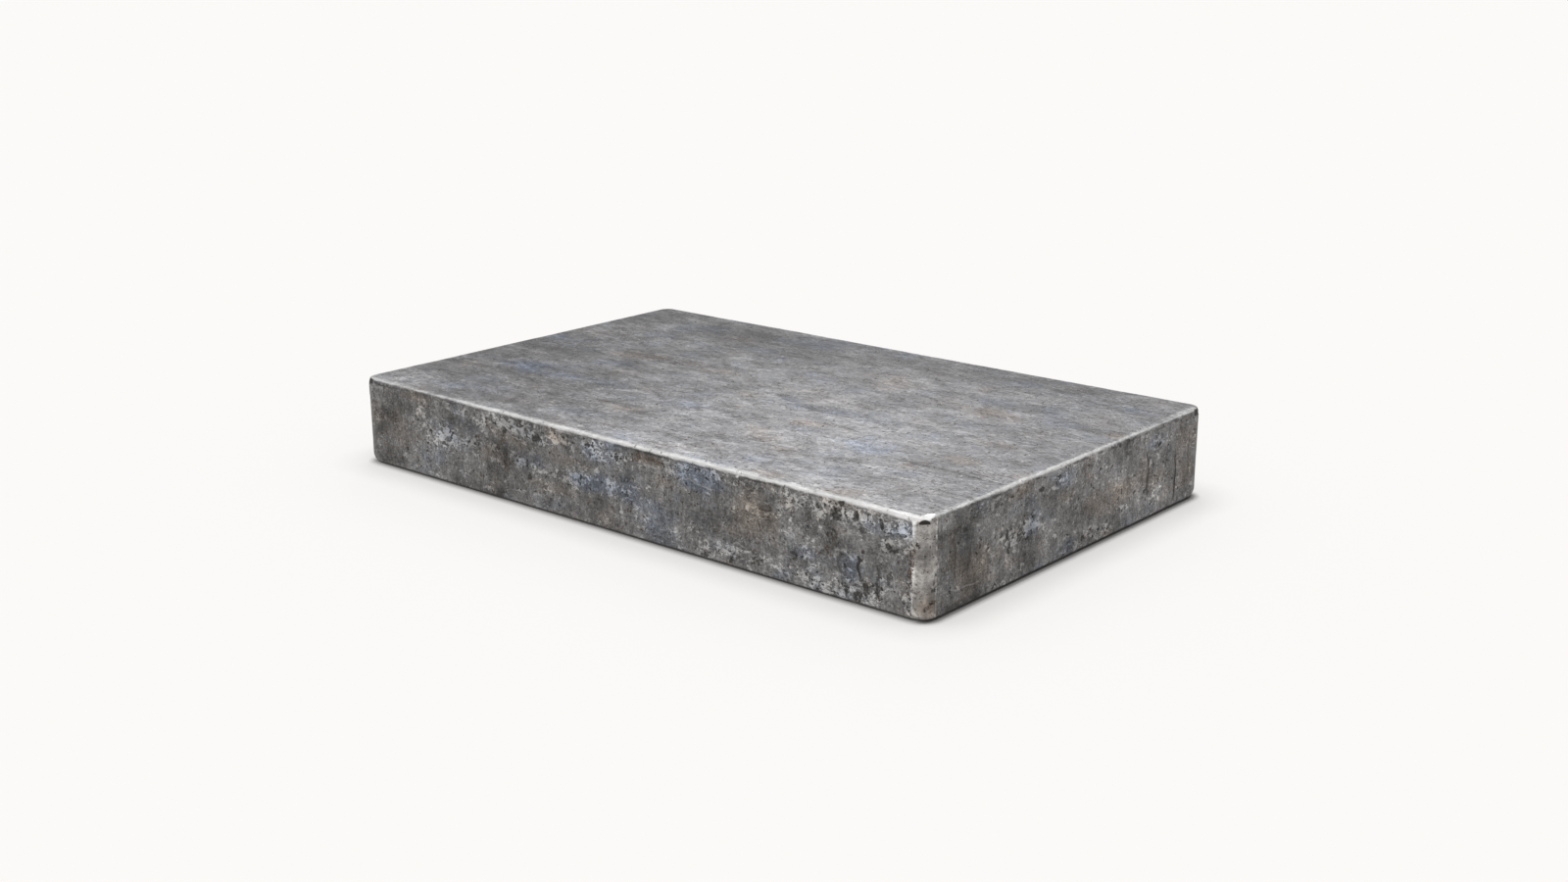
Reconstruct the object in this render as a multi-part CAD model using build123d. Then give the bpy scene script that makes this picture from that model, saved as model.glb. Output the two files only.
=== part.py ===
from build123d import *
import os

# A short length of cast steel slab, in millimetres, lying flat with +Z up.
# The origin is the centre of the underside. X runs along the length and Y across the width.

slab_length = 1600
slab_width = 1000
slab_thickness = 200

# Rounds of the four upright corners, seen from above
corner_radius = 30

# Rounds along the edges of the top face and of the underside
top_edge_radius = 8
underside_edge_radius = 8


def slab_outline():
    """Plan of the slab: a rectangle with its four corners rounded."""
    return RectangleRounded(slab_length, slab_width, corner_radius)


def cast_slab():
    """The whole slab as one solid, with its rims blended into its upright corners."""
    block = extrude(slab_outline(), amount=slab_thickness)
    top_face = block.faces().sort_by(Axis.Z)[-1]
    block = fillet(top_face.edges(), top_edge_radius)
    underside = block.faces().sort_by(Axis.Z)[0]
    return fillet(underside.edges(), underside_edge_radius)


steel_slab = cast_slab().solid()
steel_slab.label = "steel_slab"

os.makedirs("parts", exist_ok=True)
export_step(steel_slab, "parts/steel_slab.step")
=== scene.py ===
"""A short length of cast steel slab, lying flat: grey mill scale, flaked and stained on its sides, and worn
bright along its rims. Lengths are in metres and colours are linear."""

import math

import bpy
import numpy as np
from mathutils import Matrix, Vector


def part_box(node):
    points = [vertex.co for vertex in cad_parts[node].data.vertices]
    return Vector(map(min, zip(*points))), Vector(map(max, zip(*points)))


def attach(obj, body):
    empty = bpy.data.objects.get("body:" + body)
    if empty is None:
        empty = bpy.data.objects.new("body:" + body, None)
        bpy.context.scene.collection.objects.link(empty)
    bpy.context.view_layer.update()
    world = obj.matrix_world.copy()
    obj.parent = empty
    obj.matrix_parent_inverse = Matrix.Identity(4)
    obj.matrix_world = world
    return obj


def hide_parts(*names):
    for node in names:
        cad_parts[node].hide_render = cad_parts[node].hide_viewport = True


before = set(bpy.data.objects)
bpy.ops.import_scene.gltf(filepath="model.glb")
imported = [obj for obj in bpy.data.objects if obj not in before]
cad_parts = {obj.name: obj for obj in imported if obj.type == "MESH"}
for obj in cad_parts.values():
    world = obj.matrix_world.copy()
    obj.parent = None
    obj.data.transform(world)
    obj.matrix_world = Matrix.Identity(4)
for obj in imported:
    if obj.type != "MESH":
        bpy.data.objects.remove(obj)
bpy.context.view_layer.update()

SLAB = "steel_slab"
BODY = "root"

# The slab's box and the rounds that the solid has
LOW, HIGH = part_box(SLAB)
LENGTH, WIDTH, THICKNESS = HIGH - LOW
TOP = HIGH.z
BOTTOM = LOW.z
CORNER_RADIUS = 0.030
EDGE_RADIUS = 0.008
CORNER_X = LENGTH / 2 - CORNER_RADIUS
CORNER_Y = WIDTH / 2 - CORNER_RADIUS
HALF_ARC = CORNER_RADIUS * math.pi / 4

# The dark spot under the near corner's rim, a painted dark reflection, sunk a little: its middle round the
# corner, its foot and its sizes
REFLECTION_SPOT_WAY = -0.002
REFLECTION_SPOT_FOOT = 0.1852
REFLECTION_SPOT_HEIGHT = 0.0084
REFLECTION_SPOT_HALF_WIDTH = 0.0108
REFLECTION_SPOT_DEPTH = 0.0012

# The heights between which the near corner's rubbed band is paler, and how softly that block ends
PALE_BLOCK = (0.066, 0.105)
BLOCK_BLUR = 0.0015

# Where each bright border of that band begins and is full, beside its line
BORDER = (0.0024, 0.0008)

# Where lines begin and are full: the broken painted shadow under the rims, from the lower end of the rims'
# rounds, and the two sides of the painted highlight and the painted shade at the foot, from the upper end of
# the foot's round. Then how ragged they are.
RIM_SHADOW_LINE = (-0.0040, -0.0020)
FOOT_HIGHLIGHT_BELOW = (-0.0005, 0.0015)
FOOT_HIGHLIGHT_ABOVE = (0.0100, 0.0040)
FOOT_SHADE_LINE = (-0.0002, -0.0026)
RAGGED_LINE = 0.0007
RAGGED_FOOT = 0.0003

# How finely the surface is divided. The runs and corners halve twice without a remainder.
RUN_X = 352
RUN_Y = 212
CORNER_STEPS = 12
TOP_ROUND_STEPS = 5
UNDER_ROUND_STEPS = 4
LIP_DEPTHS = (0.0015, 0.0034)
SIDE_ROWS = 41
TOP_LEVEL = 1
UNDER_LEVEL = 2
# The rings between the flat grids and the rounds: their share of the way out, and how coarse they are
TOP_RINGS = ((0.50, TOP_LEVEL), (0.78, 0), (0.91, 0))
UNDER_RINGS = ((0.70, 1), (0.35, UNDER_LEVEL))

# The photograph's frame and the camera that saw it, found by fitting the slab's outline
PHOTO_WIDTH = 1600
CAMERA_PLACE = (2.5818, -2.9589, 1.2130)
CAMERA_YAW = math.radians(-40.6475)
CAMERA_PITCH = math.radians(16.0469)
CAMERA_ROLL = math.radians(0.1893)
FOCAL_PIXELS = 1863.55
SENSOR_WIDTH = 36.0

# The studio
HORIZON_LEVEL = 0.50
OVERHEAD_LEVEL = 1.12
OVERHEAD_FROM = 0.60
KEY_ENERGY = 0.4
KEY_ANGLE = math.radians(20)
KEY_AZIMUTH = math.radians(36)
KEY_HEIGHT = math.radians(31)
BACKDROP = (0.965, 0.947, 0.930, 1)
FLOOR_COLOUR = (0.90, 0.885, 0.87, 1)
FLOOR_GLOW = 0.80
FLOOR_REACH = 80
# The soft shade beside the slab's foot, close in and wider out: how far it reaches, how deep it is, and how
# deep past the end that the key light doesn't reach
CONTACT_SHADES = ((0.010, 0.32, 1.00), (0.020, 0.60, 0.95), (0.110, 0.25, 0.34))

# Colours of the scale, the bare steel and what stains them, and of the painted shade at the foot
TOP_SCALE = (0.201, 0.201, 0.208, 1)
SIDE_SCALE = (0.159, 0.157, 0.156, 1)
CRACKLE = (0.225, 0.223, 0.220, 1)
CRUST = (0.310, 0.307, 0.302, 1)
CRUST_CREST = (0.480, 0.472, 0.462, 1)
# Darkest: pits, blots and cracks, and the painted shadow under the rims and the painted dark reflections
PIT_AND_SHADOW = (0.034, 0.031, 0.028, 1)
# Painted shade on the foot's round
FOOT_SHADE = (0.074, 0.072, 0.069, 1)
RUST_DARK = (0.072, 0.050, 0.036, 1)
RUST_PALE = (0.260, 0.190, 0.125, 1)
WORN_STEEL = (0.74, 0.735, 0.73, 1)
BAND_STEEL = (0.238, 0.226, 0.214, 1)
BROWN_TINT = (1.09, 0.985, 0.89, 1)
BLUE_TINT = (0.87, 0.98, 1.18, 1)

# How hard each rim is rubbed, at places along it
RIM_WEAR = {
    "front": ((-0.80, -0.68, -0.50, -0.25, 0.00, 0.60, 0.74), (0.57, 0.58, 0.68, 0.79, 0.88, 0.86, 1.04)),
    "right": ((-0.50, -0.42, -0.28, -0.10, 0.10, 0.30, 0.50), (0.63, 0.66, 0.75, 0.80, 0.69, 0.62, 0.62)),
    "back": ((-0.80, -0.30, 0.20, 0.80), (0.58, 0.70, 0.62, 0.60)),
    "left": ((-0.50, 0.00, 0.50), (0.58, 0.72, 0.60)),
}

# How much of that wear spreads onto the top, at places along each rim
RIM_SPREAD = {
    "front": ((-0.80, -0.66, -0.55, 0.55, 0.68), (0.85, 0.80, 0.50, 0.50, 0.08)),
    "right": ((-0.48, -0.42, -0.30, 0.00, 0.30, 0.42), (0.15, 0.45, 0.05, 0.20, 0.45, 0.90)),
    "back": ((-0.80, 0.80), (0.45, 0.45)),
    "left": ((-0.50, 0.50), (0.45, 0.45)),
}

# The bright band under each rim: its height where the wear is slight, that wear, how it grows with more wear,
# and how far it fades out over the top
RUBBED_HEIGHT = 0.0035
SLIGHT_WEAR = 0.58
RUBBED_GROWTH = 0.015
RIM_FADE = 0.012

# How far each corner's foot is rounded away, how softly that starts, and how high up it ends and is full
FOOT_WEAR = {(1, -1): 0.0010, (1, 1): 0.0045, (-1, 1): 0.0035, (-1, -1): 0.0045}
FOOT_BLEND = 0.012
FOOT_HEIGHTS = (0.020, 0.002)

# How far the skin itself stands out or is sunk
BROAD_WAVES = 0.0010
FINE_WAVES = 0.0005
WORN_DENTS = 0.0006
CRUST_RISE = 0.0006
GRAIN_RISE = 0.0003
BLOT_DEPTH = 0.0012

# How far the bump raises or sinks what is finer
TOP_MOTTLE_BUMP = 0.00009
WISP_BUMP = -0.00003
SIDE_MOTTLE_BUMP = 0.0002
FLAKE_BUMP = 0.0005
WORM_BUMP = 0.00012
PIT_BUMP = -0.0006
STROKE_BUMP = -0.0004

# How far the noise texture's single octave strays from its middle, as a standard deviation
OCTAVE_SPREAD = 0.1336
# How far each seed moves the noise
SEED_STEPS = (7.3, 3.1, 5.7)

# How far a normal leans towards a face where that face begins and where it is full
TOWARD_FLAT = (0.5, 0.95)
TOWARD_SIDE = (0.3, 0.8)
# Below this share a normal doesn't lean at all
SQUARE = 1e-6
# How far a corner fades out past its round, and how far the way round the near corner is told
CORNER_FADE = 0.004
WAY_LIMIT = 0.06
# Between which shares of its half sizes a patch fades
PATCH_FADE = (0.35, 1.45)

# Patches on the slab, placed on each face: along the face, up it, half length, half height, strength.
# Along is X on the top, front and back, Y on the ends, and the way round from the middle on a corner.
# Up is Y on the top and the height elsewhere. The near corner is the one at +X and -Y.
PATCHES = {
    # Pale flaking crust; below nothing where the scale is smooth
    "crust": {
        "front": [
            (-0.775, 0.14, 0.012, 0.05, 0.5), (-0.72, 0.11, 0.05, 0.09, -0.6),
            (-0.595, 0.175, 0.02, 0.016, 0.7), (-0.53, 0.105, 0.07, 0.03, 1.0),
            (-0.585, 0.075, 0.025, 0.03, 0.5), (-0.475, 0.17, 0.025, 0.008, 0.8),
            (-0.41, 0.172, 0.04, 0.016, 0.8), (-0.37, 0.165, 0.03, 0.016, 0.7),
            (-0.27, 0.165, 0.04, 0.022, 1.1), (-0.19, 0.155, 0.015, 0.014, 0.8),
            (-0.14, 0.172, 0.06, 0.016, 1.1), (-0.03, 0.165, 0.05, 0.026, 0.9),
            (0.03, 0.166, 0.035, 0.018, 1.2), (-0.27, 0.098, 0.025, 0.016, 1.0),
            (-0.2, 0.097, 0.06, 0.012, 0.8), (-0.09, 0.092, 0.07, 0.022, 0.8),
            (-0.275, 0.033, 0.03, 0.005, 0.9), (-0.18, 0.052, 0.03, 0.004, 0.9),
            (0.085, 0.14, 0.07, 0.02, -0.7), (0.125, 0.172, 0.03, 0.01, 0.6),
            (0.17, 0.165, 0.015, 0.016, 0.7), (0.07, 0.075, 0.07, 0.035, 0.35),
            (0.245, 0.057, 0.02, 0.008, 0.8), (0.31, 0.028, 0.08, 0.02, 0.9),
            (0.39, 0.035, 0.06, 0.016, 0.8), (0.19, 0.07, 0.035, 0.02, -0.5),
            (0.29, 0.08, 0.03, 0.025, -0.4), (0.475, 0.165, 0.03, 0.024, 0.8),
            (0.56, 0.168, 0.03, 0.022, 0.9), (0.62, 0.16, 0.02, 0.02, 1.1), (0.66, 0.172, 0.02, 0.016, 1.2),
            (0.73, 0.168, 0.04, 0.02, 1.1), (0.735, 0.135, 0.03, 0.018, 0.9),
            (0.53, 0.07, 0.04, 0.022, 0.9), (0.62, 0.08, 0.02, 0.03, 0.8), (0.53, 0.028, 0.09, 0.018, 0.7),
            (0.66, 0.035, 0.05, 0.03, 0.6), (0.73, 0.08, 0.03, 0.03, -0.5),
            (0.76, 0.033, 0.016, 0.022, 1.1), (-0.3, 0.176, 0.2, 0.014, 0.9), (0.3, 0.178, 0.22, 0.01, 0.7),
            (0.62, 0.172, 0.15, 0.02, 1.0), (0.6, 0.022, 0.1, 0.022, 0.8), (0.725, 0.13, 0.03, 0.018, 1.1),
            (-0.6, 0.135, 0.035, 0.032, 0.85), (-0.4, 0.1, 0.05, 0.035, 0.75),
            (-0.34, 0.112, 0.06, 0.012, 0.8), (0.45, 0.13, 0.07, 0.03, 0.45),
            (0.77, 0.09, 0.008, 0.05, 0.9),
        ],
        "right": [
            (-0.4, 0.12, 0.08, 0.06, -0.7), (-0.3, 0.175, 0.07, 0.012, 0.8),
            (-0.2, 0.102, 0.08, 0.024, 1.15), (-0.145, 0.16, 0.02, 0.007, 0.8),
            (-0.05, 0.17, 0.05, 0.016, 0.6), (-0.03, 0.03, 0.05, 0.022, 0.6),
            (-0.1, 0.13, 0.03, 0.014, -0.6), (0.06, 0.028, 0.07, 0.018, 0.7),
            (0.17, 0.05, 0.03, 0.012, 0.8), (0.145, 0.16, 0.05, 0.022, -0.6),
            (0.31, 0.162, 0.035, 0.01, 0.7), (0.31, 0.062, 0.035, 0.025, 0.5),
            (0.43, 0.1, 0.035, 0.08, -0.6), (0.465, 0.15, 0.01, 0.04, 0.4),
        ],
        "top": [(-0.7, -0.44, 0.09, 0.05, 0.5), (0.7, -0.2, 0.1, 0.07, 0.3), (0.35, 0.25, 0.2, 0.02, 0.2)],
    },
    # Paler above nothing and darker below it: partly the scale's own tone, and partly painted light, a painted
    # highlight towards the front of the top, painted shade towards its back, and painted shade along the sides'
    # feet and under the rims
    "shade": {
        "front": [
            (-0.72, 0.11, 0.05, 0.1, -0.2), (-0.54, 0.168, 0.04, 0.016, -0.14),
            (-0.31, 0.1, 0.02, 0.03, -0.25), (-0.33, 0.065, 0.04, 0.02, -0.15),
            (-0.13, 0.03, 0.07, 0.016, -0.12), (0.085, 0.138, 0.07, 0.018, -0.12),
            (0.185, 0.07, 0.02, 0.018, -0.2), (0.29, 0.078, 0.025, 0.025, -0.22),
            (0.59, 0.125, 0.02, 0.018, -0.25), (0.65, 0.15, 0.03, 0.008, -0.3),
            (0.525, 0.165, 0.02, 0.016, -0.15), (0.72, 0.07, 0.03, 0.05, -0.08),
            (0.1, 0.188, 0.06, 0.004, -0.35), (0.6, 0.1, 0.24, 0.13, 0.22), (0.06, 0.08, 0.07, 0.08, 0.22),
            (-0.34, 0.09, 0.04, 0.05, -0.12), (-0.53, 0.06, 0.08, 0.08, 0.12),
            (-0.76, 0.175, 0.06, 0.03, 0.15), (-0.42, 0.025, 0.09, 0.025, 0.14),
            (-0.77, 0.13, 0.03, 0.03, 0.14), (-0.77, 0.025, 0.04, 0.03, -0.1),
            (0.45, 0.025, 0.04, 0.025, 0.14), (-0.15, 0.075, 0.03, 0.025, -0.12),
            (0.05, 0.125, 0.05, 0.03, 0.1), (-0.45, 0.175, 0.06, 0.028, 0.14),
            (-0.1, 0.176, 0.11, 0.026, 0.15), (0.45, 0.176, 0.16, 0.026, 0.14),
            (0.76, 0.17, 0.05, 0.03, 0.2), (-0.75, 0.178, 0.05, 0.024, 0.12),
            (-0.35, 0.125, 0.05, 0.03, -0.15), (-0.15, 0.085, 0.06, 0.04, -0.14),
            (0.15, 0.125, 0.05, 0.026, -0.1), (0.53, 0.125, 0.04, 0.034, 0.22),
            (0.44, 0.025, 0.05, 0.024, 0.16), (0.66, 0.022, 0.05, 0.022, 0.22),
            (-0.72, 0.028, 0.08, 0.026, -0.22), (0.584, 0.118, 0.022, 0.028, -0.3),
            (0.592, 0.164, 0.02, 0.018, -0.25), (0.657, 0.144, 0.016, 0.008, -0.35),
            (0.545, 0.12, 0.05, 0.036, 0.32), (0.05, 0.075, 0.05, 0.032, 0.16),
            (-0.645, 0.13, 0.045, 0.045, -0.24), (-0.145, 0.072, 0.045, 0.026, -0.12),
            (0.77, 0.172, 0.035, 0.026, 0.16), (-0.26, 0.13, 0.14, 0.026, -0.18),
            (0.15, 0.178, 0.045, 0.022, -0.22), (0.655, 0.022, 0.04, 0.02, 0.24),
            (-0.755, 0.15, 0.035, 0.045, 0.22),
        ],
        "right": [
            (-0.4, 0.11, 0.08, 0.07, -0.22), (-0.2, 0.175, 0.02, 0.012, -0.2),
            (-0.1, 0.13, 0.025, 0.016, -0.25), (-0.38, 0.012, 0.06, 0.006, -0.35),
            (-0.09, 0.042, 0.03, 0.008, -0.15), (0.145, 0.16, 0.045, 0.02, -0.1),
            (0.11, 0.09, 0.03, 0.01, -0.15), (0.375, 0.07, 0.02, 0.05, -0.15),
            (0.27, 0.085, 0.01, 0.04, -0.15), (0.28, 0.02, 0.03, 0.01, -0.12),
            (0.22, 0.08, 0.13, 0.09, 0.18), (-0.4, 0.02, 0.09, 0.03, -0.15), (-0.23, 0.1, 0.05, 0.05, 0.15),
            (-0.36, 0.105, 0.04, 0.045, -0.16), (-0.45, 0.02, 0.04, 0.025, -0.12),
            (-0.24, 0.07, 0.04, 0.025, 0.12), (0.05, 0.155, 0.04, 0.045, 0.2),
            (0.25, 0.175, 0.04, 0.025, 0.28), (0.35, 0.05, 0.04, 0.05, 0.18),
            (-0.05, 0.02, 0.04, 0.02, -0.1), (-0.45, 0.18, 0.04, 0.02, 0.14),
            (0.25, 0.175, 0.05, 0.026, 0.14), (-0.4, 0.12, 0.06, 0.036, -0.1),
            (-0.45, 0.048, 0.05, 0.046, -0.16), (-0.15, 0.075, 0.04, 0.026, -0.22),
            (0.02, 0.022, 0.08, 0.026, -0.22), (0.45, 0.075, 0.04, 0.03, -0.12),
            (-0.4, 0.01, 0.09, 0.01, -0.12), (0.1, 0.01, 0.14, 0.008, -0.16),
            (-0.45, 0.18, 0.05, 0.02, 0.24), (0.26, 0.18, 0.06, 0.022, 0.28),
            (-0.36, 0.095, 0.045, 0.045, -0.12), (-0.24, 0.072, 0.045, 0.028, 0.14),
            (-0.25, 0.178, 0.035, 0.018, -0.16), (0.25, 0.026, 0.04, 0.022, -0.16),
        ],
        "near": [
            (0.0, 0.165, 0.02, 0.022, 0.16), (0.002, 0.122, 0.018, 0.022, -0.14),
            (-0.01, 0.086, 0.016, 0.015, 0.34), (-0.02, 0.12, 0.006, 0.06, 0.3),
            (-0.01, 0.045, 0.014, 0.022, 0.22), (-0.014, 0.016, 0.01, 0.006, 0.6),
            (0.014, 0.015, 0.01, 0.006, 0.45), (0.008, 0.172, 0.004, 0.018, 0.45),
            (0.0, 0.175, 0.004, 0.012, -0.2), (-0.0215, 0.172, 0.004, 0.012, 0.3),
            (-0.0215, 0.094, 0.004, 0.015, 0.8), (0.01, 0.15, 0.006, 0.008, 0.3),
            (0.014, 0.125, 0.008, 0.02, 0.25), (0.014, 0.088, 0.008, 0.012, 0.4),
            (-0.0215, 0.063, 0.004, 0.004, -0.3), (0.0, 0.12, 0.004, 0.03, -0.15),
            (-0.021, 0.03, 0.004, 0.022, 0.25), (0.014, 0.046, 0.01, 0.01, -0.25),
            (0.021, 0.191, 0.009, 0.007, -0.22),
        ],
        # On the top: a broad painted highlight towards the front and painted shade towards the back
        "top": [
            (-0.05, 0.46, 0.75, 0.12, -0.26), (-0.35, 0.33, 0.2, 0.14, -0.18),
            (0.15, -0.25, 0.45, 0.28, 0.3), (0.25, -0.46, 0.5, 0.06, 0.22),
            (-0.72, -0.47, 0.08, 0.05, 0.35), (0.65, -0.47, 0.15, 0.05, 0.1),
            (-0.6, 0.05, 0.25, 0.35, -0.06), (-0.6, -0.36, 0.25, 0.14, 0.28),
            (0.0, -0.475, 0.35, 0.04, 0.34), (-0.74, -0.46, 0.08, 0.05, 0.2),
            (-0.76, -0.47, 0.06, 0.04, 0.4), (-0.47, -0.31, 0.07, 0.06, 0.14),
            (-0.2, -0.44, 0.07, 0.05, 0.22), (0.12, -0.45, 0.12, 0.05, 0.14),
            (-0.73, 0.38, 0.07, 0.1, -0.11), (0.33, 0.12, 0.07, 0.1, 0.12), (0.07, -0.06, 0.07, 0.06, -0.1),
            (-0.07, -0.19, 0.07, 0.06, -0.1), (-0.73, -0.12, 0.08, 0.14, 0.09),
            (-0.47, 0.2, 0.07, 0.06, 0.32), (-0.35, 0.47, 0.22, 0.04, 0.16), (-0.1, 0.3, 0.16, 0.07, -0.16),
            (0.5, 0.45, 0.12, 0.08, -0.1), (0.62, 0.2, 0.12, 0.08, -0.1), (0.55, -0.18, 0.14, 0.07, -0.12),
            (-0.75, 0.4, 0.1, 0.16, -0.1), (-0.45, 0.42, 0.2, 0.07, -0.06), (0.38, 0.43, 0.1, 0.05, -0.06),
            (-0.68, -0.04, 0.12, 0.07, -0.12), (-0.7, -0.32, 0.06, 0.04, -0.1),
            (-0.25, 0.31, 0.09, 0.04, -0.07), (-0.36, -0.17, 0.04, 0.03, -0.06),
            (-0.45, -0.42, 0.14, 0.05, -0.08), (0.7, 0.05, 0.1, 0.06, -0.07),
            (0.66, -0.23, 0.1, 0.04, -0.08), (0.77, 0.18, 0.04, 0.025, -0.15),
            (0.2, -0.42, 0.22, 0.06, 0.07), (0.1, 0.0, 0.3, 0.12, 0.05), (0.45, -0.1, 0.2, 0.1, 0.06),
            (-0.7, -0.45, 0.08, 0.05, 0.12),
        ],
    },
    # Brown above nothing and blue below it
    "tint": {
        "front": [
            (-0.65, 0.09, 0.05, 0.06, 0.7), (-0.62, 0.182, 0.04, 0.012, 0.6),
            (-0.53, 0.165, 0.05, 0.02, 0.7), (-0.24, 0.138, 0.09, 0.014, 0.9),
            (-0.12, 0.125, 0.09, 0.012, 0.7), (-0.34, 0.1, 0.05, 0.03, 0.6), (-0.37, 0.04, 0.05, 0.03, 0.5),
            (-0.14, 0.17, 0.05, 0.014, 0.5), (-0.02, 0.165, 0.05, 0.025, -0.8),
            (-0.07, 0.09, 0.05, 0.02, -0.6), (-0.15, 0.03, 0.09, 0.018, -0.7),
            (0.11, 0.176, 0.05, 0.01, 1.0), (0.265, 0.165, 0.09, 0.024, -1.2),
            (0.16, 0.135, 0.05, 0.012, 0.5), (0.4, 0.11, 0.06, 0.05, 0.8), (0.3, 0.078, 0.05, 0.025, 0.6),
            (0.31, 0.028, 0.05, 0.02, -0.6), (0.45, 0.09, 0.02, 0.04, 0.5), (0.54, 0.07, 0.05, 0.02, -0.5),
            (0.62, 0.08, 0.03, 0.03, -0.5), (0.62, 0.165, 0.03, 0.02, -0.9),
            (0.68, 0.165, 0.03, 0.015, -1.0), (0.74, 0.165, 0.03, 0.02, -0.7),
            (0.59, 0.095, 0.02, 0.012, 0.3), (0.6, 0.12, 0.17, 0.08, -0.6), (0.74, 0.135, 0.03, 0.016, 0.5),
            (0.745, 0.06, 0.015, 0.03, 0.7), (0.665, 0.045, 0.01, 0.02, 0.9),
        ],
        "right": [
            (-0.42, 0.12, 0.015, 0.05, 0.8), (-0.36, 0.08, 0.05, 0.05, 0.7), (-0.27, 0.05, 0.12, 0.03, 0.7),
            (-0.21, 0.175, 0.04, 0.012, 0.9), (-0.03, 0.165, 0.09, 0.022, -0.6),
            (-0.04, 0.13, 0.04, 0.012, 0.7), (-0.03, 0.03, 0.05, 0.02, -0.7),
            (0.14, 0.09, 0.11, 0.035, 1.2), (0.04, 0.15, 0.01, 0.008, 0.9), (0.06, 0.14, 0.05, 0.03, -0.3),
            (0.42, 0.1, 0.05, 0.08, 0.9), (0.31, 0.07, 0.05, 0.04, 0.8), (0.26, 0.015, 0.1, 0.014, -0.5),
            (0.3, 0.162, 0.05, 0.015, -0.4),
        ],
        "near": [
            (0.0, 0.165, 0.02, 0.025, 0.5), (0.0, 0.122, 0.02, 0.018, 0.4), (0.004, 0.035, 0.02, 0.03, 0.7),
        ],
        "top": [
            (-0.11, -0.2, 0.1, 0.045, -0.8), (-0.17, 0.43, 0.1, 0.05, -0.8),
            (-0.52, -0.19, 0.14, 0.06, -0.6), (-0.72, 0.08, 0.07, 0.05, -0.5),
            (0.39, 0.43, 0.07, 0.04, -0.5), (0.45, -0.22, 0.1, 0.03, -0.4), (-0.46, 0.05, 0.07, 0.04, 0.8),
            (-0.27, 0.06, 0.1, 0.05, 0.6), (0.64, -0.17, 0.05, 0.035, 1.0), (0.78, 0.17, 0.03, 0.025, 1.2),
            (0.24, -0.16, 0.05, 0.02, 0.6), (0.1, 0.22, 0.12, 0.06, 0.4), (0.5, 0.15, 0.1, 0.05, 0.4),
            (-0.15, -0.33, 0.1, 0.04, 0.4),
        ],
    },
    # Rust, in brown chips and smears
    "rust": {
        "front": [
            (0.763, 0.08, 0.008, 0.042, 0.75), (-0.315, 0.135, 0.018, 0.016, 0.6),
            (-0.312, 0.095, 0.01, 0.028, 0.6), (0.085, 0.176, 0.02, 0.01, 0.7),
            (0.125, 0.177, 0.018, 0.007, 0.7), (-0.57, 0.185, 0.05, 0.006, 0.3),
            (0.578, 0.092, 0.006, 0.008, 0.6), (0.34, 0.134, 0.008, 0.006, 0.6),
            (0.768, 0.115, 0.005, 0.022, 1.0),
        ],
        "right": [
            (-0.205, 0.175, 0.014, 0.01, 0.6), (0.385, 0.05, 0.006, 0.04, 0.4),
            (0.1, 0.088, 0.02, 0.008, 0.4),
        ],
        "near": [
            (0.014, 0.034, 0.009, 0.007, 0.9), (0.018, 0.058, 0.007, 0.004, 0.9),
            (-0.018, 0.135, 0.004, 0.02, 0.4),
        ],
    },
    # Dark pits and blots, sunk into the face; those at the lower end of the corners' top rounds are painted
    # dark reflections
    "blot": {
        "front": [
            (-0.521, 0.093, 0.006, 0.004, 1.3), (-0.562, 0.112, 0.008, 0.008, 0.8),
            (-0.579, 0.083, 0.004, 0.004, 1.0), (-0.489, 0.122, 0.006, 0.004, 0.8),
            (-0.316, 0.16, 0.01, 0.01, 0.8), (-0.266, 0.176, 0.006, 0.005, 0.9),
            (-0.245, 0.168, 0.005, 0.007, 0.8), (-0.215, 0.158, 0.02, 0.01, 0.7),
            (-0.247, 0.1, 0.005, 0.012, 0.9), (-0.24, 0.07, 0.008, 0.008, 1.0),
            (-0.1, 0.17, 0.008, 0.004, 0.9), (-0.055, 0.176, 0.008, 0.005, 0.9),
            (0.028, 0.162, 0.008, 0.007, 0.8), (0.155, 0.152, 0.006, 0.004, 1.0),
            (0.265, 0.012, 0.01, 0.005, 1.0), (0.335, 0.018, 0.008, 0.008, 0.8),
            (0.592, 0.164, 0.018, 0.015, 0.72), (0.584, 0.124, 0.016, 0.016, 0.55),
            (0.642, 0.172, 0.006, 0.012, 1.2), (0.607, 0.188, 0.008, 0.005, 1.1),
            (0.715, 0.13, 0.006, 0.008, 1.2), (0.733, 0.125, 0.005, 0.005, 1.0),
            (0.494, 0.066, 0.01, 0.012, 0.7), (0.62, 0.025, 0.008, 0.012, 0.9),
            (0.645, 0.018, 0.01, 0.012, 0.9), (0.7, 0.165, 0.006, 0.012, 0.8),
        ],
        "right": [
            (-0.247, 0.106, 0.006, 0.012, 1.1), (-0.178, 0.079, 0.006, 0.004, 1.0),
            (-0.192, 0.112, 0.004, 0.004, 0.8), (-0.163, 0.116, 0.006, 0.005, 0.9),
            (-0.135, 0.165, 0.012, 0.008, 0.7), (0.178, 0.052, 0.004, 0.004, 0.9),
            (0.215, 0.11, 0.006, 0.003, 0.8), (0.22, 0.073, 0.007, 0.004, 0.9),
            (0.155, 0.09, 0.004, 0.003, 0.8), (0.022, 0.026, 0.008, 0.008, 0.8),
            # The last on this line is a painted dark reflection at the lower end of the right corner's top
            # round
            (0.1, 0.028, 0.006, 0.006, 0.7), (0.467, 0.1925, 0.007, 0.006, 2.0),
        ],
        "near": [
            (0.022, 0.088, 0.003, 0.004, 1.0), (-0.016, 0.15, 0.004, 0.005, 0.7),
            (0.018, 0.164, 0.003, 0.003, 1.0), (0.0, 0.024, 0.003, 0.007, 1.0),
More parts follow.
